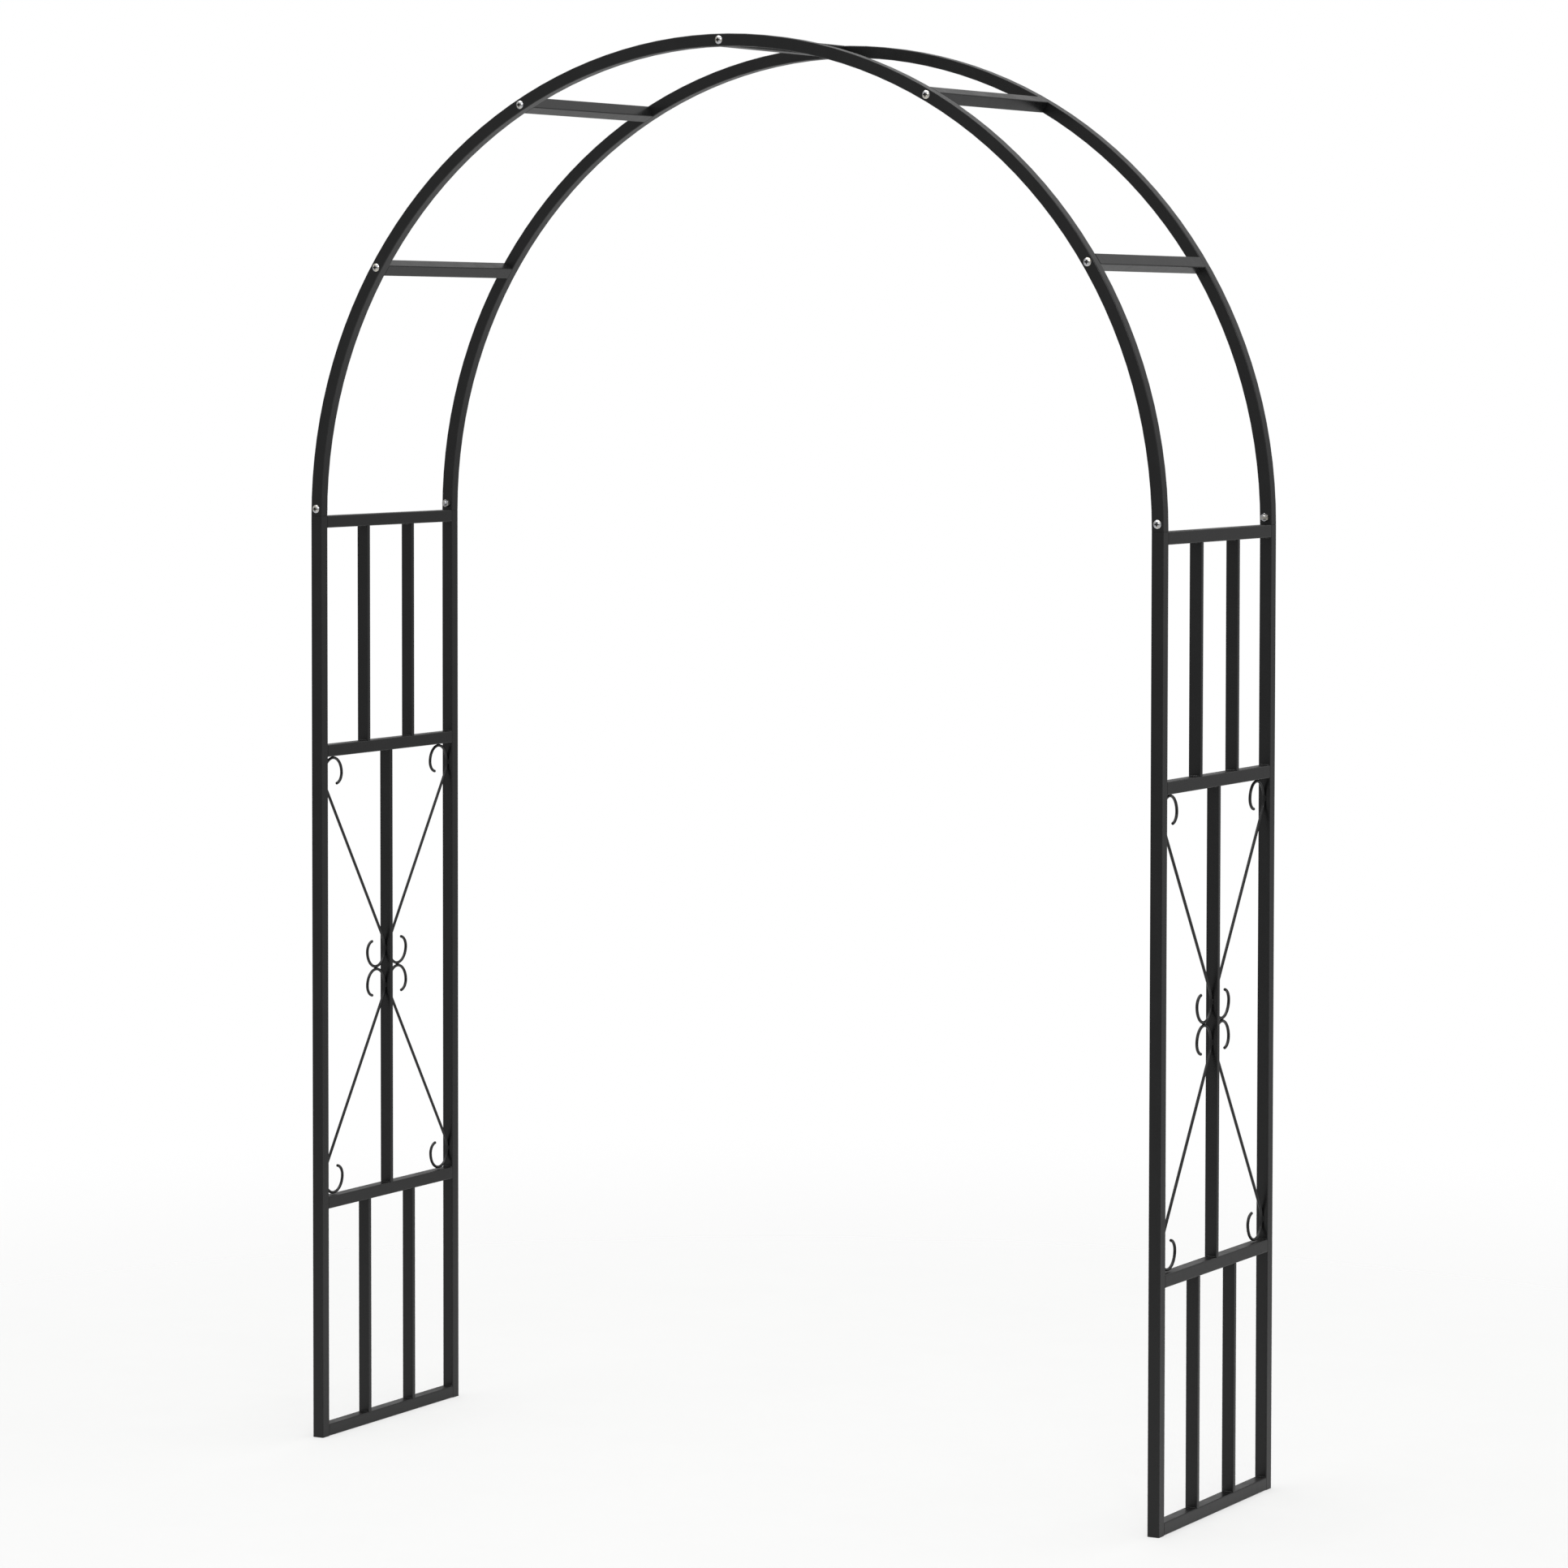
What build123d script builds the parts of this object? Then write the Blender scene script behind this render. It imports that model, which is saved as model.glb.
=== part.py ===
"""Metal trellis arch: two welded side panels, two bent arch tubes and five crossbars, all bolted up.

Frame: +Z up, the walkway runs along Y, the origin is on the ground in the middle of the footprint.
"""

from build123d import *

import os
from math import cos, radians, sin

os.makedirs("parts", exist_ok=True)

# ---- Driving dimensions (mm) ------------------------------------------------------------------

# Overall sizes
overall_width = 1475.0      # outside face to outside face of the side panels
overall_depth = 404.0       # front face to rear face of the posts
post_height = 1463.0        # the arches spring from here

# Square tube of the posts, rails, arches and crossbars
tube_size = 19.0
tube_wall = 1.0
tube_corner = 1.6
end_break = 0.5             # sharp edge taken off the top of a post

# Panel rails, by the height of their undersides
lower_rail_height = 363.0
upper_rail_height = 1081.5

# Flat tube of the vertical bars
bar_width = 19.0            # across the panel's thickness
bar_thickness = 9.0         # along the panel
bar_wall = 0.9
bar_corner = 1.2
bar_spacing = 130.0         # between the centre lines of a pair of bars

# Scroll rods
rod_diameter = 4.5
curl_radius = 25.0          # to the rod's centre line
tip_radius = 16.5           # the free end is curled tighter
tip_sweep = 83.0            # degrees
hug_length = 14.0           # from the curl to the corner of the bend
bend_radius = 27.0
curl_gap = 1.0              # between a corner curl and the rail beside it
rod_end_chamfer = 0.4

# Crossbars
crossbar_pitch = 28.8       # degrees round the arch
crossbar_names = ["right_low", "right_high", "top", "left_high", "left_low"]

# Post spigots, over which the arch legs slide
spigot_wall = 1.2
spigot_corner = 1.2
spigot_depth = 40.0         # pressed into the post
spigot_rise = 22.0          # above the post
spigot_clearance = 0.5      # all round, inside the arch leg

# Threaded plugs in the crossbar ends
plug_length = 16.0
plug_corner = 1.0

# Fasteners
screw_diameter = 6.35
head_diameter = 12.7
head_height = 3.6
head_rim = 0.8              # straight height of the head's edge
recess_width = 7.4          # cross recess, tip to tip at its mouth
recess_slot = 1.9           # width of each slot at its mouth
recess_core = 4.4           # diameter of its middle at its mouth
recess_depth = 2.6
recess_taper = 12.0         # degrees, from the mouth down
screw_tip_chamfer = 0.7
screw_hole_clearance = 0.4  # on the diameter, through the tubes
thread_clearance = 0.1      # on the diameter, in a nut or a plug
nut_across_flats = 11.1
nut_thickness = 5.5
nut_corner_chamfer = 0.6
nut_countersink = 0.5       # at both mouths of its bore
base_bolt_height = 11.0     # above the top of the post
base_bolt_end = 2.5         # bolt left over past its nut
crossbar_screw_bite = 13.0  # length of screw inside the plug

# ---- Places worked out from them --------------------------------------------------------------

half_tube = tube_size / 2
tube_bore = tube_size - 2 * tube_wall
panel_x = overall_width / 2 - half_tube
post_y = overall_depth / 2 - half_tube
inner_y = overall_depth / 2 - tube_size
clear_depth = 2 * inner_y

arch_radius = overall_width / 2 - half_tube
arch_axis = Axis((0, 0, post_height), (0, 1, 0))
crossbar_angles = [90 + crossbar_pitch * step for step in (-2, -1, 0, 1, 2)]

rail_heights = {
    "bottom_rail": 0.0,
    "lower_rail": lower_rail_height,
    "upper_rail": upper_rail_height,
    "top_rail": post_height - tube_size,
}
middle_bay_foot = lower_rail_height + tube_size
middle_bay_height = upper_rail_height - middle_bay_foot
middle_bay_centre = middle_bay_foot + middle_bay_height / 2

sides = {"left": -1, "right": 1}
ends = {"front": -1, "rear": 1}
levels = {"lower": -1, "upper": 1}


# ---- Sections shared by several pieces --------------------------------------------------------

def tube_section():
    """Draw the square tube's section in the sketch that is open."""
    RectangleRounded(tube_size, tube_size, tube_corner)
    RectangleRounded(tube_bore, tube_bore, tube_corner - tube_wall, mode=Mode.SUBTRACT)


def bar_section():
    """Draw the flat tube's section in the sketch that is open, its width along X."""
    RectangleRounded(bar_width, bar_thickness, bar_corner)
    RectangleRounded(
        bar_width - 2 * bar_wall,
        bar_thickness - 2 * bar_wall,
        bar_corner - bar_wall,
        mode=Mode.SUBTRACT,
    )


def arch_point(angle, y):
    """Give the point on the arch's centre line at an angle in degrees, moved to a depth y."""
    return (
        arch_radius * cos(radians(angle)),
        y,
        post_height + arch_radius * sin(radians(angle)),
    )


# ---- Side panels: posts, rails and bars -------------------------------------------------------

for side, side_sign in sides.items():
    x = side_sign * panel_x

    for end, end_sign in ends.items():
        with BuildPart() as post:
            with BuildSketch(Plane((x, end_sign * post_y, 0))):
                tube_section()
            extrude(amount=post_height)
            chamfer(faces().sort_by(Axis.Z)[-1].outer_wire().edges(), length=end_break)
        post.part.label = f"{side}_{end}_post"
        export_step(post.part, f"parts/{side}_{end}_post.step")

    for rail_name, height in rail_heights.items():
        with BuildPart() as rail:
            rail_plane = Plane((x, -inner_y, height + half_tube), x_dir=(1, 0, 0), z_dir=(0, 1, 0))
            with BuildSketch(rail_plane):
                tube_section()
            extrude(amount=clear_depth)
        rail.part.label = f"{side}_{rail_name}"
        export_step(rail.part, f"parts/{side}_{rail_name}.step")

    # Each bar stands on one rail and ends under the next: name, foot, top, place along Y
    bars = [
        ("centre_bar", middle_bay_foot, upper_rail_height, 0.0),
    ]
    for end, end_sign in ends.items():
        bar_y = end_sign * bar_spacing / 2
        bars.append((f"{end}_lower_bar", tube_size, lower_rail_height, bar_y))
        bars.append((f"{end}_upper_bar", upper_rail_height + tube_size, post_height - tube_size, bar_y))

    for bar_name, foot, top, bar_y in bars:
        with BuildPart() as bar:
            with BuildSketch(Plane((x, bar_y, foot))):
                bar_section()
            extrude(amount=top - foot)
        bar.part.label = f"{side}_{bar_name}"
        export_step(bar.part, f"parts/{side}_{bar_name}.step")


# ---- Scroll rods ------------------------------------------------------------------------------

# A rod is drawn about its own middle: x runs from the post to the centre bar, y from the middle
# of the bay to the rail. It lies against the post, crosses to the bar and curls at both ends.
rod_radius = rod_diameter / 2
rod_foot = rod_radius
rod_top = middle_bay_height / 2 - curl_gap - rod_radius
rod_reach = (inner_y - bar_thickness / 2) / 2 - rod_radius
rod_middle_y = (inner_y + bar_thickness / 2) / 2
rod_middle_z = (rod_top + rod_foot) / 2
curl_height = (rod_top - rod_foot) / 2 - curl_radius
corner_height = curl_height - hug_length

for side, side_sign in sides.items():
    for end, end_sign in ends.items():
        for level, level_sign in levels.items():
            rod_plane = Plane(
                (
                    side_sign * panel_x,
                    end_sign * rod_middle_y,
                    middle_bay_centre + level_sign * rod_middle_z,
                ),
                x_dir=(0, -end_sign, 0),
                z_dir=(-end_sign * level_sign, 0, 0),
            )
            with BuildPart() as rod:
                with BuildLine(rod_plane) as rod_path:
                    FilletPolyline(
                        (-rod_reach, curl_height),
                        (-rod_reach, corner_height),
                        (rod_reach, -corner_height),
                        (rod_reach, -curl_height),
                        radius=bend_radius,
                    )
                    CenterArc((curl_radius - rod_reach, curl_height), curl_radius, 180, -180)
                    CenterArc((rod_reach - curl_radius, -curl_height), curl_radius, 0, -180)
                    tip_offset = rod_reach - 2 * curl_radius + tip_radius
                    CenterArc((-tip_offset, curl_height), tip_radius, 0, -tip_sweep)
                    CenterArc((tip_offset, -curl_height), tip_radius, 180, -tip_sweep)
                rod_wire = rod_path.wire()
                with BuildSketch(Plane(rod_wire @ 0, z_dir=rod_wire % 0)):
                    Circle(rod_radius)
                sweep(path=rod_wire)
                cut_ends = faces().filter_by(GeomType.PLANE)
                chamfer(cut_ends.edges(), length=rod_end_chamfer)
            rod.part.label = f"{side}_{end}_{level}_scroll"
            export_step(rod.part, f"parts/{side}_{end}_{level}_scroll.step")


# ---- Post spigots -----------------------------------------------------------------------------

spigot_size = tube_bore - 2 * spigot_clearance
spigot_bore = spigot_size - 2 * spigot_wall

for side, side_sign in sides.items():
    for end, end_sign in ends.items():
        spigot_place = (side_sign * panel_x, end_sign * post_y)
        with BuildPart() as spigot:
            with BuildSketch(Plane((*spigot_place, post_height - spigot_depth))):
                RectangleRounded(tube_bore, tube_bore, spigot_corner)
            extrude(amount=spigot_depth)
            with BuildSketch(Plane((*spigot_place, post_height))):
                RectangleRounded(spigot_size, spigot_size, spigot_corner)
            extrude(amount=spigot_rise)
            with BuildSketch(Plane((*spigot_place, post_height - spigot_depth))):
                Rectangle(spigot_bore, spigot_bore)
            extrude(amount=spigot_depth + spigot_rise, mode=Mode.SUBTRACT)
            bolt_line = Plane(
                (spigot_place[0], 0, post_height + base_bolt_height),
                z_dir=(0, end_sign, 0),
            )
            with BuildSketch(bolt_line):
                Circle((screw_diameter + screw_hole_clearance) / 2)
            extrude(amount=overall_depth / 2, mode=Mode.SUBTRACT)
        spigot.part.label = f"{side}_{end}_spigot"
        export_step(spigot.part, f"parts/{side}_{end}_spigot.step")


# ---- Arches -----------------------------------------------------------------------------------

for end, end_sign in ends.items():
    y = end_sign * post_y
    with BuildPart() as arch:
        with BuildSketch(Plane((arch_radius, y, post_height))):
            tube_section()
        revolve(axis=arch_axis, revolution_arc=-180)
        hole_plane = Plane((0, y, post_height), x_dir=(1, 0, 0), z_dir=(0, -1, 0))
        with BuildSketch(hole_plane):
            for angle in crossbar_angles:
                with PolarLocations(arch_radius, 1, start_angle=angle):
                    Circle((screw_diameter + screw_hole_clearance) / 2)
            with Locations((-arch_radius, base_bolt_height), (arch_radius, base_bolt_height)):
                Circle((screw_diameter + screw_hole_clearance) / 2)
        extrude(amount=half_tube, both=True, mode=Mode.SUBTRACT)
    arch.part.label = f"{end}_arch"
    export_step(arch.part, f"parts/{end}_arch.step")


# ---- Crossbars and the plugs in their ends ----------------------------------------------------

for name, angle in zip(crossbar_names, crossbar_angles):
    radial = (cos(radians(angle)), 0, sin(radians(angle)))
    with BuildPart() as crossbar:
        with BuildSketch(Plane(arch_point(angle, -inner_y), x_dir=radial, z_dir=(0, 1, 0))):
            tube_section()
        extrude(amount=clear_depth)
    crossbar.part.label = f"{name}_crossbar"
    export_step(crossbar.part, f"parts/{name}_crossbar.step")

plug_planes = []
screw_planes = []
for angle in crossbar_angles:
    radial = (cos(radians(angle)), 0, sin(radians(angle)))
    for end_sign in ends.values():
        inward = (0, -end_sign, 0)
        plug_planes.append(Plane(arch_point(angle, end_sign * inner_y), x_dir=radial, z_dir=inward))
        face_y = end_sign * overall_depth / 2
        screw_planes.append(Plane(arch_point(angle, face_y), x_dir=(1, 0, 0), z_dir=inward))

with BuildPart() as crossbar_plugs:
    with BuildSketch(*plug_planes):
        RectangleRounded(tube_bore, tube_bore, plug_corner)
        Circle((screw_diameter + thread_clearance) / 2, mode=Mode.SUBTRACT)
    extrude(amount=plug_length)
crossbar_plugs.part.label = "crossbar_plugs"
export_step(crossbar_plugs.part, "parts/crossbar_plugs.step")


# ---- Screws, bolts and nuts -------------------------------------------------------------------

def button_screw(length):
    """Make a button-head screw: seat at the origin, shank along +Z, head below."""
    with BuildPart() as screw:
        with BuildSketch(Plane.XZ):
            with BuildLine():
                crown = (0, -head_height)
                rim = (head_diameter / 2, -head_rim)
                TangentArc(crown, rim, tangent=(1, 0))
                Polyline(
                    rim,
                    (head_diameter / 2, 0),
                    (screw_diameter / 2, 0),
                    (screw_diameter / 2, length - screw_tip_chamfer),
                    (screw_diameter / 2 - screw_tip_chamfer, length),
                    (0, length),
                    crown,
                )
            make_face()
        revolve(axis=Axis.Z)
        with BuildSketch(Plane.XY.offset(-head_height)):
            Rectangle(recess_width, recess_slot)
            Rectangle(recess_slot, recess_width)
            Circle(recess_core / 2)
        extrude(amount=recess_depth, taper=recess_taper, mode=Mode.SUBTRACT)
    return screw.part


base_planes = []
nut_planes = []
for side_sign in sides.values():
    for end_sign in ends.values():
        place = (side_sign * panel_x, post_height + base_bolt_height)
        inward = (0, -end_sign, 0)
        outer = (place[0], end_sign * overall_depth / 2, place[1])
        inner = (place[0], end_sign * inner_y, place[1])
        base_planes.append(Plane(outer, x_dir=(1, 0, 0), z_dir=inward))
        nut_planes.append(Plane(inner, x_dir=(1, 0, 0), z_dir=inward))

base_bolt = button_screw(tube_size + nut_thickness + base_bolt_end)
crossbar_screw = button_screw(tube_size + crossbar_screw_bite)

with BuildPart() as base_bolts:
    with Locations(*base_planes):
        add(base_bolt)
base_bolts.part.label = "base_bolts"
export_step(base_bolts.part, "parts/base_bolts.step")

with BuildPart() as crossbar_screws:
    with Locations(*screw_planes):
        add(crossbar_screw)
crossbar_screws.part.label = "crossbar_screws"
export_step(crossbar_screws.part, "parts/crossbar_screws.step")

# One nut is cut from a bar turned down at both ends, and the four are put in place
nut_corner = nut_across_flats / 2 / cos(radians(30))

with BuildPart() as turned_bar:
    Cylinder(nut_corner, nut_thickness, align=(Align.CENTER, Align.CENTER, Align.MIN))
    chamfer(edges(), length=nut_corner_chamfer)

with BuildPart() as nut:
    with BuildSketch(Plane.XY):
        RegularPolygon(nut_across_flats / 2, 6, major_radius=False, rotation=30)
    extrude(amount=nut_thickness)
    add(turned_bar.part, mode=Mode.INTERSECT)
    Hole((screw_diameter + thread_clearance) / 2)
    bore_mouths = edges(Select.LAST).filter_by(GeomType.CIRCLE)
    chamfer(bore_mouths, length=nut_countersink)

with BuildPart() as base_nuts:
    with Locations(*nut_planes):
        add(nut.part)
base_nuts.part.label = "base_nuts"
export_step(base_nuts.part, "parts/base_nuts.step")
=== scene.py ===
"""Garden trellis arch in satin black powder coat: finishes, weld beads, bolt threads and studio.

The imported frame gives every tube, rod and fastener its shape and place. This script dresses those
nodes, lays the weld beads that hold the side panels together, cuts the threads of the base bolts,
and sets up the floor, the light and the camera. All lengths are in metres.
"""

import logging
import math
from dataclasses import dataclass
from enum import Enum
from typing import Iterable, Union

import bmesh
import bpy
from mathutils import Matrix, Vector, noise


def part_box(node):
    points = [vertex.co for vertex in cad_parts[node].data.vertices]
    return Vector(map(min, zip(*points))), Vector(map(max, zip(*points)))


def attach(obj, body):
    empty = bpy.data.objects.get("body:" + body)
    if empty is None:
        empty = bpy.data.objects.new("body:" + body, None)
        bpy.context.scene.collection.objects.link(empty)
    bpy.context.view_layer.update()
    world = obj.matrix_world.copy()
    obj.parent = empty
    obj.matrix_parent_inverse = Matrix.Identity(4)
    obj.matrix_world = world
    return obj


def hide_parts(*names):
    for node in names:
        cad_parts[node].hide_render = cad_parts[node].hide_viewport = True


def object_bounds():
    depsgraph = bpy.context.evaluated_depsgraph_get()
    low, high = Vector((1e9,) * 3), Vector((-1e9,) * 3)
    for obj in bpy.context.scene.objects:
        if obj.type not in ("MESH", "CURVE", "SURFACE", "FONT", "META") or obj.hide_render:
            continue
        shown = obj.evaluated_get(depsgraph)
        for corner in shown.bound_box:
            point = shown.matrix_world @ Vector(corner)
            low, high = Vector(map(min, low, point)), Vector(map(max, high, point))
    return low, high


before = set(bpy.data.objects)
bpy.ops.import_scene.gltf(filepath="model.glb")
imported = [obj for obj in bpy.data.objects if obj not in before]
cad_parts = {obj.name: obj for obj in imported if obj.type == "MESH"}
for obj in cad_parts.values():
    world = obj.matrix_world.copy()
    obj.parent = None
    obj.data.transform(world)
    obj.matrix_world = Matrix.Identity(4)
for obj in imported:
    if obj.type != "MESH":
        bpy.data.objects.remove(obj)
cad_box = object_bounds()

LOG = logging.getLogger("trellis_arch")
MM = 0.001
CREASE_ANGLE = math.radians(32.0)
BODY = "root"
Colour = tuple[float, float, float]


class Slot(Enum):
    """The record's material slots."""

    TUBE = "coated_tube"
    ROD = "coated_rod"
    ZINC = "zinc_fastener"
    STEEL = "plain_steel"


class Side(Enum):
    """The two side panels, with the sign of their place along X."""

    LEFT = ("left", -1)
    RIGHT = ("right", 1)

    def __init__(self, word: str, sign: int) -> None:
        """Keeps the word used in node names, and the sign.

        Args:
            word: the word that the panel's node names start with.
            sign: -1 or 1, the panel's side of the walkway.
        """
        self.word = word
        self.sign = sign


class End(Enum):
    """The two ends of the walkway, with the sign of their place along Y."""

    FRONT = ("front", -1)
    REAR = ("rear", 1)

    def __init__(self, word: str, sign: int) -> None:
        """Keeps the word used in node names, and the sign.

        Args:
            word: the word that stands in the node names.
            sign: -1 or 1, the end of the walkway.
        """
        self.word = word
        self.sign = sign


class Corners(Enum):
    """How a coated section is turned, which says where its corners are."""

    UPRIGHT = "square to the frame"
    ROUND_THE_ARCH = "turned with the arch"
    NONE = "round, with no corners"


# ---- Shader graphs ----------------------------------------------------------------------------


class Value:
    """A socket that adds Math nodes when it stands in an expression."""

    def __init__(self, graph: "Graph", socket: bpy.types.NodeSocket) -> None:
        """Wraps a socket.

        Args:
            graph: the graph that the socket belongs to.
            socket: the output that carries the value.
        """
        self.graph = graph
        self.socket = socket

    def _math(self, operation: str, *operands: "Number") -> "Value":
        """Adds one Math node.

        Args:
            operation: the node's operation.
            operands: what goes into its sockets, in order.

        Returns:
            The node's result.
        """
        return self.graph.value("ShaderNodeMath", 0, {"operation": operation}, dict(enumerate(operands)))

    def __add__(self, other: "Number") -> "Value":
        """Gives the sum."""
        return self._math("ADD", self, other)

    def __radd__(self, other: "Number") -> "Value":
        """Gives the sum, from the right."""
        return self._math("ADD", other, self)

    def __sub__(self, other: "Number") -> "Value":
        """Gives the difference."""
        return self._math("SUBTRACT", self, other)

    def __rsub__(self, other: "Number") -> "Value":
        """Gives the difference, from the right."""
        return self._math("SUBTRACT", other, self)

    def __mul__(self, other: "Number") -> "Value":
        """Gives the product."""
        return self._math("MULTIPLY", self, other)

    def __rmul__(self, other: "Number") -> "Value":
        """Gives the product, from the right."""
        return self._math("MULTIPLY", other, self)

    def __abs__(self) -> "Value":
        """Gives the absolute value."""
        return self._math("ABSOLUTE", self)

    def at_least(self, other: "Number") -> "Value":
        """Gives the greater of the two."""
        return self._math("MAXIMUM", self, other)

    def between(self, low: float, high: float) -> "Value":
        """Rises smoothly from 0 to 1.

        Args:
            low: where the rise starts.
            high: where it ends; below low, the result falls instead.

        Returns:
            A mask from 0 to 1.
        """
        return self.graph.value(
            "ShaderNodeMapRange", 0, {"interpolation_type": "SMOOTHSTEP"},
            {"Value": self, "From Min": low, "From Max": high},
        )


Number = Union[Value, float]


class Graph:
    """A node tree, emptied, and the one way that its nodes are made."""

    def __init__(self, tree: bpy.types.NodeTree) -> None:
        """Empties the tree.

        Args:
            tree: the node tree of a material or of the world.
        """
        self.tree = tree
        tree.nodes.clear()

    def node(self, kind: str, settings: dict | None = None, inputs: dict | None = None) -> bpy.types.Node:
        """Adds a node.

        Args:
            kind: the node's type.
            settings: its properties, set first; stops is a ramp's list of place and colour.
            inputs: values or links by the socket's name or number.

        Returns:
            The node.
        """
        node = self.tree.nodes.new(kind)
        for name, setting in (settings or {}).items():
            if name == "stops":
                self._set_stops(node.color_ramp, setting)
            else:
                setattr(node, name, setting)
        for key, given in (inputs or {}).items():
            socket = node.inputs[key]
            given = given.socket if isinstance(given, Value) else given
            if isinstance(given, bpy.types.NodeSocket):
                self.tree.links.new(given, socket)
            else:
                socket.default_value = given
        return node

    def value(self, kind: str, output: int | str, settings: dict | None = None,
              inputs: dict | None = None) -> Value:
        """Adds a node and wraps one of its outputs.

        Args:
            kind: the node's type.
            output: the output's name or number.
            settings: the node's properties.
            inputs: values or links by the socket's name or number.

        Returns:
            The output, ready for an expression.
        """
        return Value(self, self.node(kind, settings, inputs).outputs[output])

    @staticmethod
    def _set_stops(ramp: bpy.types.ColorRamp, stops: list[tuple[float, Colour]]) -> None:
        """Gives a ramp its stops.

        Args:
            ramp: the ramp.
            stops: place and colour of each, in order.
        """
        while len(ramp.elements) < len(stops):
            ramp.elements.new(1.0)
        for element, (place, colour) in zip(ramp.elements, stops):
            element.position = place
            element.color = (*colour, 1.0)

    def noise(self, place: bpy.types.NodeSocket, size: float, detail: float = 2.0,
              stretch: Colour = (1.0, 1.0, 1.0)) -> Value:
        """Adds smooth noise, from about 0 to 1.

        Args:
            place: Object coordinates.
            size: the width of one blotch.
            detail: how many finer layers lie on it.
            stretch: how many times longer the blotches are along each axis.

        Returns:
            The noise.
        """
        scaled = self.node("ShaderNodeVectorMath", {"operation": "DIVIDE"}, {0: place, 1: stretch})
        return self.value("ShaderNodeTexNoise", 0, None,
                          {"Vector": scaled.outputs[0], "Scale": 1.0 / size, "Detail": detail})

    def blend(self, mask: Number, first: "Paint", second: "Paint") -> bpy.types.NodeSocket:
        """Mixes two colours.

        Args:
            mask: 0 for the first colour, 1 for the second.
            first: a colour or a colour's socket.
            second: a colour or a colour's socket.

        Returns:
            The mixed colour's socket.
        """
        first = (*first, 1.0) if isinstance(first, tuple) else first
        second = (*second, 1.0) if isinstance(second, tuple) else second
        mix = self.node("ShaderNodeMix", {"data_type": "RGBA", "clamp_factor": True},
                        {0: mask, 6: first, 7: second})
        return mix.outputs[2]

    def vector(self, operation: str, output: int | str, *operands: "Paint") -> bpy.types.NodeSocket:
        """Adds one Vector Math node.

        Args:
            operation: the node's operation.
            output: its vector or its value.
            operands: what goes into its sockets, in order.

        Returns:
            The output's socket.
        """
        node = self.node("ShaderNodeVectorMath", {"operation": operation}, dict(enumerate(operands)))
        return node.outputs[output]


Paint = Union[Colour, bpy.types.NodeSocket]


def new_material(name: str) -> tuple[bpy.types.Material, Graph, bpy.types.Node]:
    """Starts a material.

    Args:
        name: the material's name.

    Returns:
        The material, its empty graph and a Texture Coordinate node.
    """
    material = bpy.data.materials.new(name)
    material.use_nodes = True
    graph = Graph(material.node_tree)
    return material, graph, graph.node("ShaderNodeTexCoord")


def close_material(graph: Graph, height: Number, depth: float, shader: dict) -> None:
    """Ends a material with its bump, its shader and its output.

    Args:
        graph: the material's graph.
        height: the relief, from 0 to 1.
        depth: how deep the relief is.
        shader: values or links for the Principled shader.
    """
    bump = graph.node("ShaderNodeBump", None, {"Strength": 1.0, "Distance": depth, "Height": height})
    surface = graph.node("ShaderNodeBsdfPrincipled", None, {**shader, "Normal": bump.outputs[0]})
    graph.node("ShaderNodeOutputMaterial", None, {"Surface": surface.outputs[0]})


# ---- Finishes ---------------------------------------------------------------------------------


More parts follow.
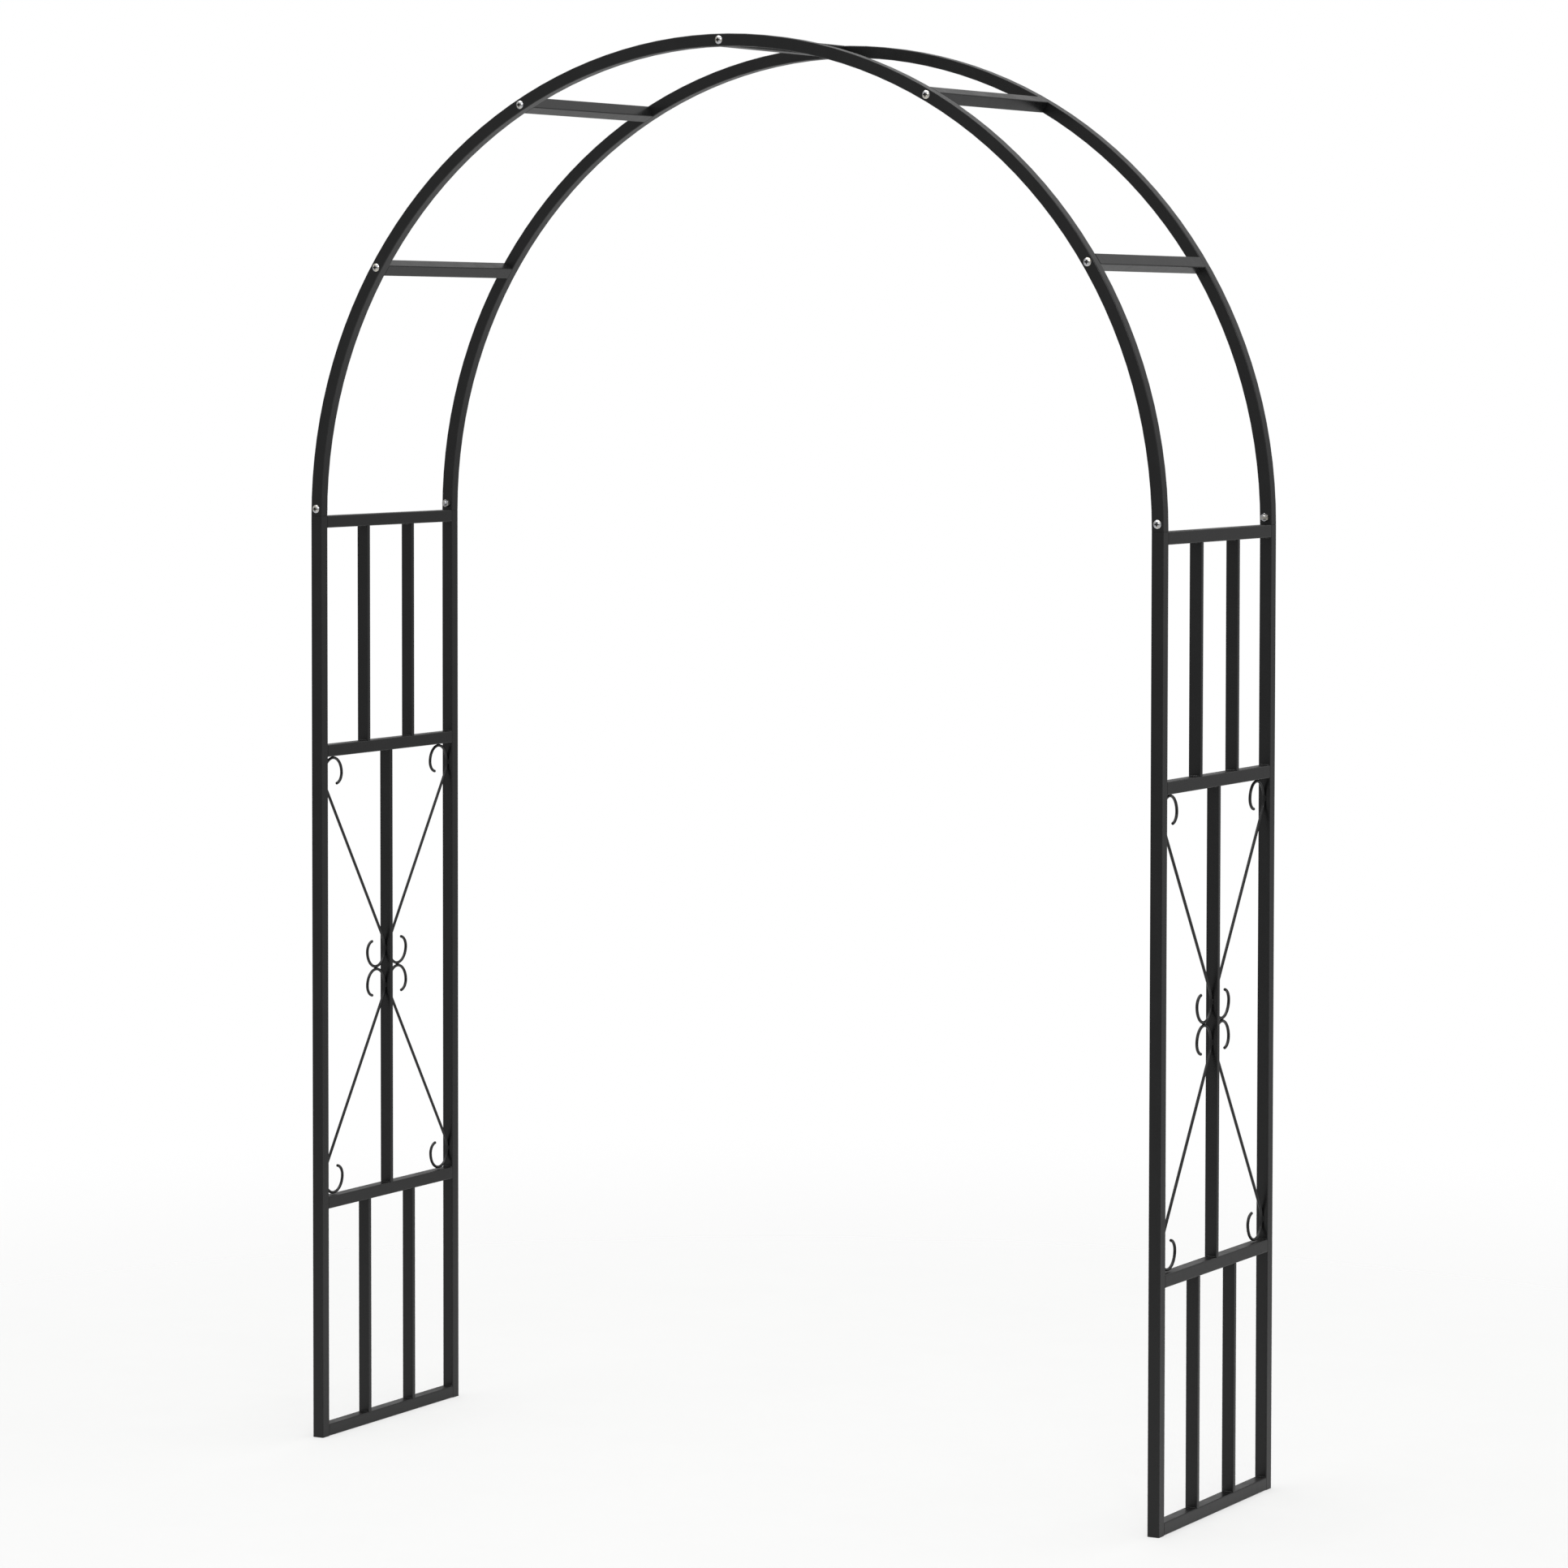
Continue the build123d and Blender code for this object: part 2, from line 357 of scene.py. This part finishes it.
@dataclass(frozen=True)
class PowderCoat:
    """Satin black powder coat, baked on: fine orange peel, thin at corners, a little dust on top."""

    colour: Colour = (0.0042, 0.0043, 0.0045)
    thin_colour: Colour = (0.017, 0.017, 0.018)
    dust_colour: Colour = (0.075, 0.070, 0.062)
    roughness: float = 0.31
    roughness_spread: float = 0.09
    thin_gloss: float = 0.07
    dust_cover: float = 0.10
    peel_size: float = 2.4 * MM
    peel_depth: float = 0.05 * MM
    grain_size: float = 0.45 * MM
    cloud_size: float = 38 * MM
    cloud_lift: float = 1.5
    chip_size: float = 6 * MM
    streak_size: float = 9 * MM

    def material(self, name: str, corners: Corners, centre: Vector) -> bpy.types.Material:
        """Makes the coat for one way that a section is turned.

        Args:
            name: the material's name.
            corners: where the section has its corners.
            centre: the middle of the arch's circle.

        Returns:
            The material.
        """
        material, graph, coords = new_material(name)
        place, normal = coords.outputs["Object"], coords.outputs["Normal"]
        clouds = graph.noise(place, self.cloud_size, 3.0)
        streaks = graph.noise(place, self.streak_size, 2.0, (1.0, 1.0, 14.0))
        chips = graph.noise(place, self.chip_size, 4.0)
        peel = graph.noise(place, self.peel_size, 1.0)
        grain = graph.noise(place, self.grain_size, 2.0)

        thin = self._corner_mask(graph, place, normal, corners, centre) * chips.between(0.36, 0.66)
        upward = Value(graph, graph.vector("DOT_PRODUCT", "Value", normal, (0.0, 0.0, 1.0)))
        dust = upward.between(0.55, 0.95) * clouds.between(0.38, 0.70) * self.dust_cover

        paler = tuple(self.cloud_lift * part for part in self.colour)
        coat = graph.blend(clouds.between(0.35, 0.75) * 0.5, self.colour, paler)
        coat = graph.blend(thin * 0.8, coat, self.thin_colour)
        coat = graph.blend(dust, coat, self.dust_colour)
        uneven = (clouds - 0.5) * self.roughness_spread + (streaks - 0.5) * self.roughness_spread
        gloss = self.roughness + uneven + dust * 1.2 - thin * self.thin_gloss
        close_material(graph, peel * 0.8 + grain * 0.2, self.peel_depth,
                       {"Base Color": coat, "Roughness": gloss, "IOR": 1.5})
        return material

    @staticmethod
    def _corner_mask(graph: Graph, place: bpy.types.NodeSocket, normal: bpy.types.NodeSocket,
                     corners: Corners, centre: Vector) -> Number:
        """Finds the rounded corners of a square section from the way that its surface faces.

        Args:
            graph: the material's graph.
            place: Object coordinates.
            normal: the surface's direction.
            corners: how the section is turned.
            centre: the middle of the arch's circle.

        Returns:
            A mask, 0 on the flats and 1 in the middle of a corner.
        """
        if corners is Corners.NONE:
            return graph.noise(place, 11 * MM, 2.0).between(0.58, 0.80)
        sideways, upward = (1.0, 0.0, 0.0), (0.0, 0.0, 1.0)
        along = (0.0, 1.0, 0.0)
        if corners is Corners.ROUND_THE_ARCH:
            from_centre = graph.vector("SUBTRACT", 0, place, tuple(centre))
            in_plane = graph.vector("MULTIPLY", 0, from_centre, (1.0, 0.0, 1.0))
            sideways = graph.vector("NORMALIZE", 0, in_plane)
            upward = graph.vector("CROSS_PRODUCT", 0, sideways, along)
        facing = [abs(Value(graph, graph.vector("DOT_PRODUCT", "Value", normal, axis)))
                  for axis in (sideways, upward, along)]
        squareness = facing[0].at_least(facing[1]).at_least(facing[2])
        return (1.0 - squareness).between(0.02, 0.22)


@dataclass(frozen=True)
class ZincPlate:
    """Bright zinc plate on steel, with a faint blue and yellow bloom, and painted shade that colours the
    cross recesses near black for their shadow.
    """

    colour: Colour = (0.62, 0.63, 0.66)
    bloom_colour: Colour = (0.66, 0.63, 0.55)
    grime_colour: Colour = (0.09, 0.085, 0.08)
    roughness: float = 0.24
    # painted shade: how strongly the cross recess is coloured dark in place of its shadow, and the
    # near-black colour that it gets
    recess_shade_strength: float = 0.95
    recess_shade_colour: Colour = (0.022, 0.021, 0.020)
    head_seat: float = 202.8 * MM
    bloom_size: float = 7 * MM
    scratch_size: float = 0.5 * MM
    pit_depth: float = 0.012 * MM

    def material(self, name: str, grime: float) -> bpy.types.Material:
        """Makes the plate.

        Args:
            name: the material's name.
            grime: how much dirt lies on it, from 0 to 1.

        Returns:
            The material.
        """
        material, graph, coords = new_material(name)
        place = coords.outputs["Object"]
        bloom = graph.noise(place, self.bloom_size, 3.0)
        scratches = graph.noise(place, self.scratch_size, 3.0, (1.0, 1.0, 9.0))
        dirt = graph.noise(place, 3 * MM, 4.0).between(0.52, 0.78) * grime
        # painted shade: the cross recess is coloured near black, made rougher and made not metallic, to
        # stand for the shadow inside it
        shaded_recess = self._recess_mask(graph, place, coords.outputs["Normal"]) * self.recess_shade_strength
        plate = graph.blend(bloom.between(0.40, 0.66), self.colour, self.bloom_colour)
        plate = graph.blend(dirt, plate, self.grime_colour)
        plate = graph.blend(shaded_recess, plate, self.recess_shade_colour)
        gloss = self.roughness + (scratches - 0.5) * 0.22 + dirt * 0.35 + shaded_recess * 0.35
        close_material(graph, scratches, self.pit_depth,
                       {"Base Color": plate, "Roughness": gloss,
                        "Metallic": 1.0 - (dirt * 0.6).at_least(shaded_recess)})
        return material

    def _recess_mask(self, graph: Graph, place: bpy.types.NodeSocket,
                     normal: bpy.types.NodeSocket) -> Value:
        """Finds the cross recess in a head, by its steep walls above the rim and its flat bottom.

        Args:
            graph: the material's graph.
            place: Object coordinates.
            normal: the surface's direction.

        Returns:
            A mask, 1 in the recess.
        """
        along = (0.0, 1.0, 0.0)
        depth = abs(Value(graph, graph.vector("DOT_PRODUCT", "Value", place, along))) - self.head_seat
        facing = abs(Value(graph, graph.vector("DOT_PRODUCT", "Value", normal, along)))
        walls = depth.between(0.02 * MM, 0.08 * MM) * facing.between(0.60, 0.45)
        bottom = depth.between(0.02 * MM, 0.08 * MM) * depth.between(0.50 * MM, 0.40 * MM)
        return walls.at_least(bottom * facing.between(0.90, 0.97))


@dataclass(frozen=True)
class DrawnSteel:
    """Bare drawn steel inside the tubes: die lines along its length and a first bloom of rust."""

    colour: Colour = (0.34, 0.34, 0.35)
    rust_colour: Colour = (0.16, 0.065, 0.028)
    roughness: float = 0.42
    line_size: float = 0.7 * MM
    line_depth: float = 0.02 * MM
    rust_size: float = 8 * MM

    def material(self, name: str, drawn_along: Colour) -> bpy.types.Material:
        """Makes the steel.

        Args:
            name: the material's name.
            drawn_along: how many times longer the die lines are along each axis.

        Returns:
            The material.
        """
        material, graph, coords = new_material(name)
        place = coords.outputs["Object"]
        lines = graph.noise(place, self.line_size, 2.0, drawn_along)
        rust = graph.noise(place, self.rust_size, 5.0).between(0.55, 0.72) * 0.5
        steel = graph.blend(lines.between(0.3, 0.7), tuple(0.8 * c for c in self.colour), self.colour)
        steel = graph.blend(rust, steel, self.rust_colour)
        close_material(graph, lines, self.line_depth,
                       {"Base Color": steel, "Roughness": self.roughness + rust * 0.6,
                        "Metallic": 1.0 - rust})
        return material


# ---- Pieces -----------------------------------------------------------------------------------


def dress(names: Iterable[str], material: bpy.types.Material) -> None:
    """Gives nodes of the frame a finish.

    Args:
        names: the nodes.
        material: the finish.
    """
    for name in names:
        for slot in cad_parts[name].material_slots:
            slot.material = material
        LOG.info("%s dressed in %s", name, material.name)


def make_piece(mesh: bmesh.types.BMesh, name: str,
               material: bpy.types.Material) -> bpy.types.Object:
    """Turns a finished bmesh into a piece that rides on the frame.

    Args:
        mesh: the shape, in its place; it is freed.
        name: the piece's name.
        material: the finish.

    Returns:
        The piece.
    """
    bmesh.ops.recalc_face_normals(mesh, faces=mesh.faces)
    for face in mesh.faces:
        face.smooth = True
    for edge in mesh.edges:
        edge.smooth = edge.calc_face_angle(0.0) < CREASE_ANGLE
    data = bpy.data.meshes.new(name)
    mesh.to_mesh(data)
    mesh.free()
    data.materials.append(material)
    piece = bpy.data.objects.new(name, data)
    bpy.context.scene.collection.objects.link(piece)
    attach(piece, BODY)
    LOG.info("%s made with %d faces", name, len(data.polygons))
    return piece


@dataclass(frozen=True)
class WeldBead:
    """A bead laid in overlapping pools, tapered where the arc starts and stops."""

    radius: float
    pool_length: float = 1.9 * MM
    rings_per_pool: int = 4
    sides: int = 9
    dip: float = 0.16
    unevenness: float = 0.14

    def lay(self, mesh: bmesh.types.BMesh, start: Vector, stop: Vector) -> None:
        """Lays the bead from one point to another.

        Args:
            mesh: the shape that it joins.
            start: where the bead's centre line starts.
            stop: where it stops.
        """
        line = stop - start
        rings = max(6, round(line.length / self.pool_length * self.rings_per_pool))
        step = line.length / rings
        made = bmesh.ops.create_circle(mesh, cap_ends=True, segments=self.sides,
                                       radius=self.width(0, rings))
        bead = list(made["verts"])
        edges = list({edge for vert in bead for edge in vert.link_edges})
        for ring in range(1, rings + 1):
            grown = bmesh.ops.extrude_edge_only(mesh, edges=edges)["geom"]
            verts = [item for item in grown if isinstance(item, bmesh.types.BMVert)]
            edges = [item for item in grown if isinstance(item, bmesh.types.BMEdge)]
            edges = [edge for edge in edges if all(vert in verts for vert in edge.verts)]
            growth = self.width(ring, rings) / self.width(ring - 1, rings)
            bmesh.ops.scale(mesh, vec=(growth, growth, 1.0), verts=verts)
            bmesh.ops.translate(mesh, vec=(0.0, 0.0, step), verts=verts)
            bead += verts
        bmesh.ops.contextual_create(mesh, geom=edges)
        turned = line.to_track_quat("Z", "Y").to_matrix().to_4x4()
        bmesh.ops.transform(mesh, matrix=Matrix.Translation(start) @ turned, verts=bead)
        self._roughen(bead, start, line.normalized())

    def width(self, ring: int, rings: int) -> float:
        """Gives the bead's radius at a ring.

        Args:
            ring: the ring's number.
            rings: how many rings the bead has after the first.

        Returns:
            The radius.
        """
        along_pool = (ring % self.rings_per_pool) / self.rings_per_pool
        from_end = min(ring, rings - ring) / self.rings_per_pool
        taper = 0.35 + 0.65 * math.sin(min(1.0, from_end) * math.pi / 2)
        return self.radius * taper * (1.0 - self.dip * along_pool ** 2)

    def _roughen(self, bead: list[bmesh.types.BMVert], start: Vector, along: Vector) -> None:
        """Makes the bead uneven, as a hand-held torch does.

        Args:
            bead: the bead's vertices, in place.
            start: a point on its centre line.
            along: the line's direction.
        """
        for vert in bead:
            offset = vert.co - start
            outward = offset - offset.dot(along) * along
            vert.co += outward * self.unevenness * noise.noise(vert.co / self.pool_length)


@dataclass
class SidePanel:
    """One welded side panel: two posts, four rails, five bars and four scroll rods."""

    side: Side
    coat: bpy.types.Material
    rod_coat: bpy.types.Material
    weld_coat: bpy.types.Material
    fillet: WeldBead = WeldBead(1.45 * MM)
    seam: WeldBead = WeldBead(1.0 * MM, sides=8, dip=0.08, unevenness=0.05)
    tack: WeldBead = WeldBead(1.05 * MM, pool_length=2.4 * MM, sides=8)
    fillet_offset: float = 0.45 * MM
    seam_depth: float = 0.12 * MM
    seam_set_in: float = 0.45 * MM
    corner_inset: float = 1.2 * MM
    tack_length: float = 8 * MM
    curl_tack_length: float = 5 * MM
    curl_tack_spread: float = 0.85

    def build(self) -> None:
        """Dresses the panel's nodes and lays its welds."""
        word = self.side.word
        own = [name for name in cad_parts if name.startswith(word)]
        panel = [name for name in own if name.endswith(("post", "rail", "bar")) and "crossbar" not in name]
        dress(panel, self.coat)
        dress([name for name in own if name.endswith("scroll")], self.rod_coat)
        self.weld_rails([f"{word}_{rail}_rail" for rail in ("bottom", "lower", "upper", "top")])
        self.weld_bars([name for name in panel if name.endswith("bar")])
        self.tack_scrolls()

    def weld_rails(self, rails: list[str]) -> None:
        """Welds both ends of each rail to the posts.

        Args:
            rails: the rails' nodes, from the lowest to the highest.
        """
        mesh = bmesh.new()
        for name in rails:
            low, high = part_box(name)
            for end in End:
                joint = high.y if end.sign > 0 else low.y
                across = (low.x + self.corner_inset, high.x - self.corner_inset)
                inside = joint - end.sign * self.fillet_offset
                if name != rails[-1]:
                    self._run(mesh, self.fillet, across, inside, high.z + self.fillet_offset)
                if name != rails[0]:
                    self._run(mesh, self.fillet, across, inside, low.z - self.fillet_offset)
                for face, inward in ((low.x, 1), (high.x, -1)):
                    x = face + inward * (self.seam.radius + self.seam_depth)
                    y = joint + end.sign * self.seam_set_in
                    foot = Vector((x, y, low.z + self.corner_inset))
                    self.seam.lay(mesh, foot, Vector((x, y, high.z - self.corner_inset)))
        make_piece(mesh, f"{self.side.word}_rail_welds", self.weld_coat)

    def weld_bars(self, bars: list[str]) -> None:
        """Welds both ends of each upright bar to the rails.

        Args:
            bars: the bars' nodes.
        """
        mesh = bmesh.new()
        for name in bars:
            low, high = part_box(name)
            for joint, inward in ((low.z, 1), (high.z, -1)):
                across = (low.x + self.corner_inset, high.x - self.corner_inset)
                level = joint + inward * self.fillet_offset
                self._run(mesh, self.fillet, across, low.y - self.fillet_offset, level)
                self._run(mesh, self.fillet, across, high.y + self.fillet_offset, level)
                for face, into in ((low.x, 1), (high.x, -1)):
                    x = face + into * (self.seam.radius + self.seam_depth)
                    z = joint - inward * self.seam_set_in
                    near = Vector((x, low.y + self.corner_inset, z))
                    self.seam.lay(mesh, near, Vector((x, high.y - self.corner_inset, z)))
        make_piece(mesh, f"{self.side.word}_bar_welds", self.weld_coat)

    def tack_scrolls(self) -> None:
        """Tacks each scroll rod to its post, to the centre bar and to the rod that it meets."""
        mesh = bmesh.new()
        for end in End:
            for level in ("lower", "upper"):
                name = f"{self.side.word}_{end.word}_{level}_scroll"
                low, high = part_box(name)
                middle = (low.x + high.x) / 2
                rod = (high.x - low.x) / 2
                for edge, outward in ((low.y, -1), (high.y, 1)):
                    height = self._touch(name, 1, edge)[2]
                    for flank in (-1, 1):
                        x = middle + flank * rod
                        y = edge - outward * self.tack.radius / 2
                        foot = Vector((x, y, height - self.tack_length / 2))
                        self.tack.lay(mesh, foot, foot + Vector((0, 0, self.tack_length)))
                if level == "lower":
                    reach = self._touch(name, 2, high.z)[1]
                    for flank in (-1, 1):
                        x = middle + flank * rod * self.curl_tack_spread
                        near = Vector((x, reach - self.curl_tack_length / 2, high.z))
                        self.tack.lay(mesh, near, near + Vector((0, self.curl_tack_length, 0)))
        make_piece(mesh, f"{self.side.word}_scroll_tacks", self.weld_coat)

    @staticmethod
    def _run(mesh: bmesh.types.BMesh, bead: WeldBead, across: tuple[float, float],
             y: float, z: float) -> None:
        """Lays a bead across the panel's thickness.

        Args:
            mesh: the shape that it joins.
            bead: the kind of bead.
            across: where it starts and stops along X.
            y: its place along Y.
            z: its height.
        """
        bead.lay(mesh, Vector((across[0], y, z)), Vector((across[1], y, z)))

    @staticmethod
    def _touch(name: str, axis: int, edge: float) -> Vector:
        """Finds the middle of the stretch where a rod reaches its furthest.

        Args:
            name: the rod's node.
            axis: the axis along which it reaches, 0 to 2.
            edge: how far it reaches.

        Returns:
            The middle of the stretch.
        """
        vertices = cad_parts[name].data.vertices
        near = [vert.co for vert in vertices if abs(vert.co[axis] - edge) < 0.1 * MM]
        low = Vector([min(point[i] for point in near) for i in range(3)])
        high = Vector([max(point[i] for point in near) for i in range(3)])
        return (low + high) / 2


@dataclass
class ArchTop:
    """The two bent arch tubes and the five crossbars between them."""

    coat: bpy.types.Material
    steel: bpy.types.Material
    plug_steel: bpy.types.Material

    def build(self) -> None:
        """Dresses the arches, the crossbars, their plugs and the spigots under the legs."""
        dress([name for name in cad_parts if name.endswith(("arch", "crossbar"))], self.coat)
        dress([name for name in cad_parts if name.endswith("spigot")], self.steel)
        dress(["crossbar_plugs"], self.plug_steel)


@dataclass
class Fasteners:
    """Button-head screws, base bolts with cut threads, and hexagon nuts."""

    plate: bpy.types.Material
    thread_plate: bpy.types.Material
    shank_radius: float = 3.175 * MM
    root_radius: float = 2.55 * MM
    pitch: float = 1.27 * MM
    steps_per_turn: int = 20
    thread_length: float = 9 * MM
    end_bevel: float = 0.7 * MM

    def build(self) -> None:
        """Dresses the screws and nuts, and makes the bolts anew with their threads."""
        dress(["crossbar_screws", "base_nuts"], self.plate)
        self.cut_bolts()

    def cut_bolts(self) -> None:
        """Makes the base bolts from the frame's own, each with a threaded end in place of its plain one."""
        low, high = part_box("base_bolts")
        nut_low, nut_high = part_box("base_nuts")
        mesh = bmesh.new()
        mesh.from_mesh(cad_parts["base_bolts"].data)
        bmesh.ops.remove_doubles(mesh, verts=mesh.verts, dist=0.001 * MM)
        inner_tip = min(abs(vert.co.y) for vert in mesh.verts)
        start = inner_tip + self.thread_length
        for sign in (-1, 1):
            geometry = mesh.verts[:] + mesh.edges[:] + mesh.faces[:]
            cut = bmesh.ops.bisect_plane(mesh, geom=geometry, plane_co=(0, sign * start, 0),
                                         plane_no=(0, 1, 0))
            rim = [item for item in cut["geom_cut"] if isinstance(item, bmesh.types.BMEdge)]
            inner = [vert for vert in mesh.verts if 0 < vert.co.y * sign < start - 0.001 * MM]
            bmesh.ops.delete(mesh, geom=inner, context="VERTS")
            bmesh.ops.holes_fill(mesh, edges=[edge for edge in rim if edge.is_valid])
        for x in (self._middle(nut_low.x), self._middle(nut_high.x)):
            for sign in (-1, 1):
                axis_point = Vector((x, sign * start, (nut_low.z + nut_high.z) / 2))
                self._thread(mesh, axis_point, Vector((0, -sign, 0)))
        piece = make_piece(mesh, "threaded_base_bolts", self.thread_plate)
        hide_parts("base_bolts")

    @staticmethod
    def _middle(edge: float) -> float:
        """Gives the post's middle on that side, where its bolts are."""
        low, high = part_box("left_front_post" if edge < 0 else "right_front_post")
        return (low.x + high.x) / 2

    def _thread(self, mesh: bmesh.types.BMesh, base: Vector, along: Vector) -> None:
        """Cuts a thread: one ridge, turned and advanced round the bolt's line.

        Args:
            mesh: the shape that it joins.
            base: where the thread starts, on the bolt's line.
            along: the way that the bolt points.
        """
        turns = math.ceil(self.thread_length / self.pitch) + 2
        work = bmesh.new()
        profile = [work.verts.new((radius, 0.0, (level - 1.5) * self.pitch))
                   for radius, level in ((self.root_radius, 0.0), (self.shank_radius, 0.44),
                                         (self.shank_radius, 0.56), (self.root_radius, 1.0))]
        edges = [work.edges.new(pair) for pair in zip(profile, profile[1:])]
        steps = turns * self.steps_per_turn
        bmesh.ops.spin(work, geom=profile + edges, cent=(0, 0, 0), axis=(0, 0, 1),
                       dvec=(0, 0, self.pitch / self.steps_per_turn), angle=turns * math.tau, steps=steps)
        bmesh.ops.remove_doubles(work, verts=work.verts, dist=0.01 * MM)
        for level, way in ((0.0, -1), (self.thread_length, 1)):
            geometry = work.verts[:] + work.edges[:] + work.faces[:]
            cut = bmesh.ops.bisect_plane(work, geom=geometry, plane_co=(0, 0, level),
                                         plane_no=(0, 0, way), clear_outer=True)
            rim = [item for item in cut["geom_cut"] if isinstance(item, bmesh.types.BMEdge)]
            bmesh.ops.holes_fill(work, edges=rim)
        for vert in work.verts:
            reach = math.hypot(vert.co.x, vert.co.y)
            limit = self.shank_radius - self.end_bevel + (self.thread_length - vert.co.z)
            if reach > limit:
                vert.co.x *= limit / reach
                vert.co.y *= limit / reach
        turned = along.to_track_quat("Z", "Y").to_matrix().to_4x4()
        bmesh.ops.transform(work, matrix=Matrix.Translation(base) @ turned, verts=work.verts)
        data = bpy.data.meshes.new("thread")
        work.to_mesh(data)
        work.free()
        mesh.from_mesh(data)
        bpy.data.meshes.remove(data)


# ---- Studio -----------------------------------------------------------------------------------


@dataclass
class Studio:
    """A pale floor, a soft white room, two soft lights and the camera."""

    floor_radius: float = 3.6
    floor_cover: float = 0.42
    mottle_size: float = 0.25
    floor_colour: Colour = (0.90, 0.90, 0.89)
    room_strength: float = 0.36
    room_lift: float = 0.28
    room_band: tuple[float, float] = (0.05, 0.5)
    overhead_offset: tuple[float, float, float] = (0.0, 0.0, 4.2)
    overhead_size: float = 5.0
    overhead_power: float = 150.0
    key_offset: tuple[float, float, float] = (3.2, -4.6, 3.4)
    key_size: float = 1.2
    key_power: float = 36.0
    camera_place: Vector = Vector((4.0470, -7.3569, 1.7277))
    camera_heading: float = 29.853
    camera_dip: float = 2.440
    camera_roll: float = 0.039
    camera_lens: float = 125.10
    camera_shift: tuple[float, float] = (0.0638, -0.1299)

    def build(self) -> None:
        """Sets up the floor, the room, the lights and the camera."""
        self.lay_floor()
        self.light_room()
        centre = (cad_box[0] + cad_box[1]) / 2
        above, front_right = Vector(self.overhead_offset), Vector(self.key_offset)
        self.hang_light("overhead", centre + above, centre, self.overhead_size, self.overhead_power)
        self.hang_light("key", centre + front_right, centre, self.key_size, self.key_power)
        self.place_camera()

    def lay_floor(self) -> None:
        """Lays a round, half-clear floor that fades into the room at its rim."""
        mesh = bmesh.new()
        bmesh.ops.create_circle(mesh, cap_ends=True, segments=96, radius=self.floor_radius)
        data = bpy.data.meshes.new("floor")
        mesh.to_mesh(data)
        mesh.free()
        material, graph, coords = new_material("pale_floor")
        place = coords.outputs["Object"]
        reach = Value(graph, graph.vector("LENGTH", "Value", place))
        cover = reach.between(self.floor_radius, self.floor_radius * 0.32) * self.floor_cover
        mottle = graph.noise(place, self.mottle_size, 4.0)
        shade = tuple(0.985 * part for part in self.floor_colour)
        colour = graph.blend(mottle.between(0.35, 0.65), self.floor_colour, shade)
        close_material(graph, graph.noise(place, 4 * MM, 2.0), 0.02 * MM,
                       {"Base Color": colour, "Roughness": 0.7 + mottle * 0.1, "Alpha": cover})
        data.materials.append(material)
        floor = bpy.data.objects.new("floor", data)
        bpy.context.scene.collection.objects.link(floor)

    def light_room(self) -> None:
        """Surrounds the object with a soft white room, seen as a plain white backdrop."""
        world = bpy.data.worlds.new("white_room")
        world.use_nodes = True
        graph = Graph(world.node_tree)
        seen = graph.node("ShaderNodeLightPath").outputs["Is Camera Ray"]
        direction = graph.node("ShaderNodeTexCoord").outputs["Generated"]
        height = abs(Value(graph, graph.vector("DOT_PRODUCT", "Value", direction, (0.0, 0.0, 1.0))))
        strength = self.room_strength + height.between(*self.room_band) * self.room_lift
        room = graph.node("ShaderNodeBackground", None, {"Color": (1, 1, 1, 1), "Strength": strength})
        backdrop = graph.node("ShaderNodeBackground", None, {"Color": (1, 1, 1, 1), "Strength": 1.0})
        mixed = graph.node("ShaderNodeMixShader", None,
                           {0: seen, 1: room.outputs[0], 2: backdrop.outputs[0]})
        graph.node("ShaderNodeOutputWorld", None, {"Surface": mixed.outputs[0]})
        bpy.context.scene.world = world

    @staticmethod
    def hang_light(name: str, place: Vector, target: Vector, size: float, power: float) -> None:
        """Hangs one square soft light.

        Args:
            name: the light's name.
            place: where it hangs.
            target: what it points at.
            size: the length of its side.
            power: its power in watts.
        """
        data = bpy.data.lights.new(name, "AREA")
        data.size = size
        data.energy = power
        light = bpy.data.objects.new(name, data)
        light.location = place
        light.rotation_euler = (target - place).to_track_quat("-Z", "Y").to_euler()
        bpy.context.scene.collection.objects.link(light)

    def place_camera(self) -> None:
        """Places the camera to the right of the front, at a person's eye height."""
        data = bpy.data.cameras.new("camera")
        data.sensor_width = 36.0
        data.lens = self.camera_lens
        data.shift_x, data.shift_y = self.camera_shift
        data.clip_end = 100.0
        camera = bpy.data.objects.new("camera", data)
        heading = Matrix.Rotation(math.radians(self.camera_heading), 4, "Z")
        level = Matrix.Rotation(math.radians(90.0 - self.camera_dip), 4, "X")
        roll = Matrix.Rotation(math.radians(self.camera_roll), 4, "Z")
        camera.matrix_world = Matrix.Translation(self.camera_place) @ heading @ level @ roll
        bpy.context.scene.collection.objects.link(camera)
        bpy.context.scene.camera = camera
        bpy.context.scene.view_settings.view_transform = "Standard"


def main() -> None:
    """Builds the arch's finishes and pieces in order, and then the studio."""
    logging.basicConfig(level=logging.INFO, format="%(name)s: %(message)s")
    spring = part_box("front_arch")[0].z
    centre = Vector((0.0, 0.0, spring))
    coat = PowderCoat()
    weld = PowderCoat(roughness=0.34, peel_size=3.5 * MM, dust_cover=0.0)
    zinc = ZincPlate()
    steel = DrawnSteel()
    upright_coat = coat.material("coat_on_square_tube", Corners.UPRIGHT, centre)
    rod_coat = coat.material("coat_on_rod", Corners.NONE, centre)
    weld_coat = weld.material("coat_over_weld", Corners.NONE, centre)
    for side in Side:
        SidePanel(side, upright_coat, rod_coat, weld_coat).build()
    arch_coat = coat.material("coat_on_arch", Corners.ROUND_THE_ARCH, centre)
    spigot_steel = steel.material("drawn_spigot", (1.0, 1.0, 30.0))
    plug_steel = steel.material("drawn_plug", (1.0, 30.0, 1.0))
    ArchTop(arch_coat, spigot_steel, plug_steel).build()
    Fasteners(zinc.material("zinc_plate", 0.35), zinc.material("zinc_thread", 0.6)).build()
    Studio().build()


if __name__ == "__main__":
    main()
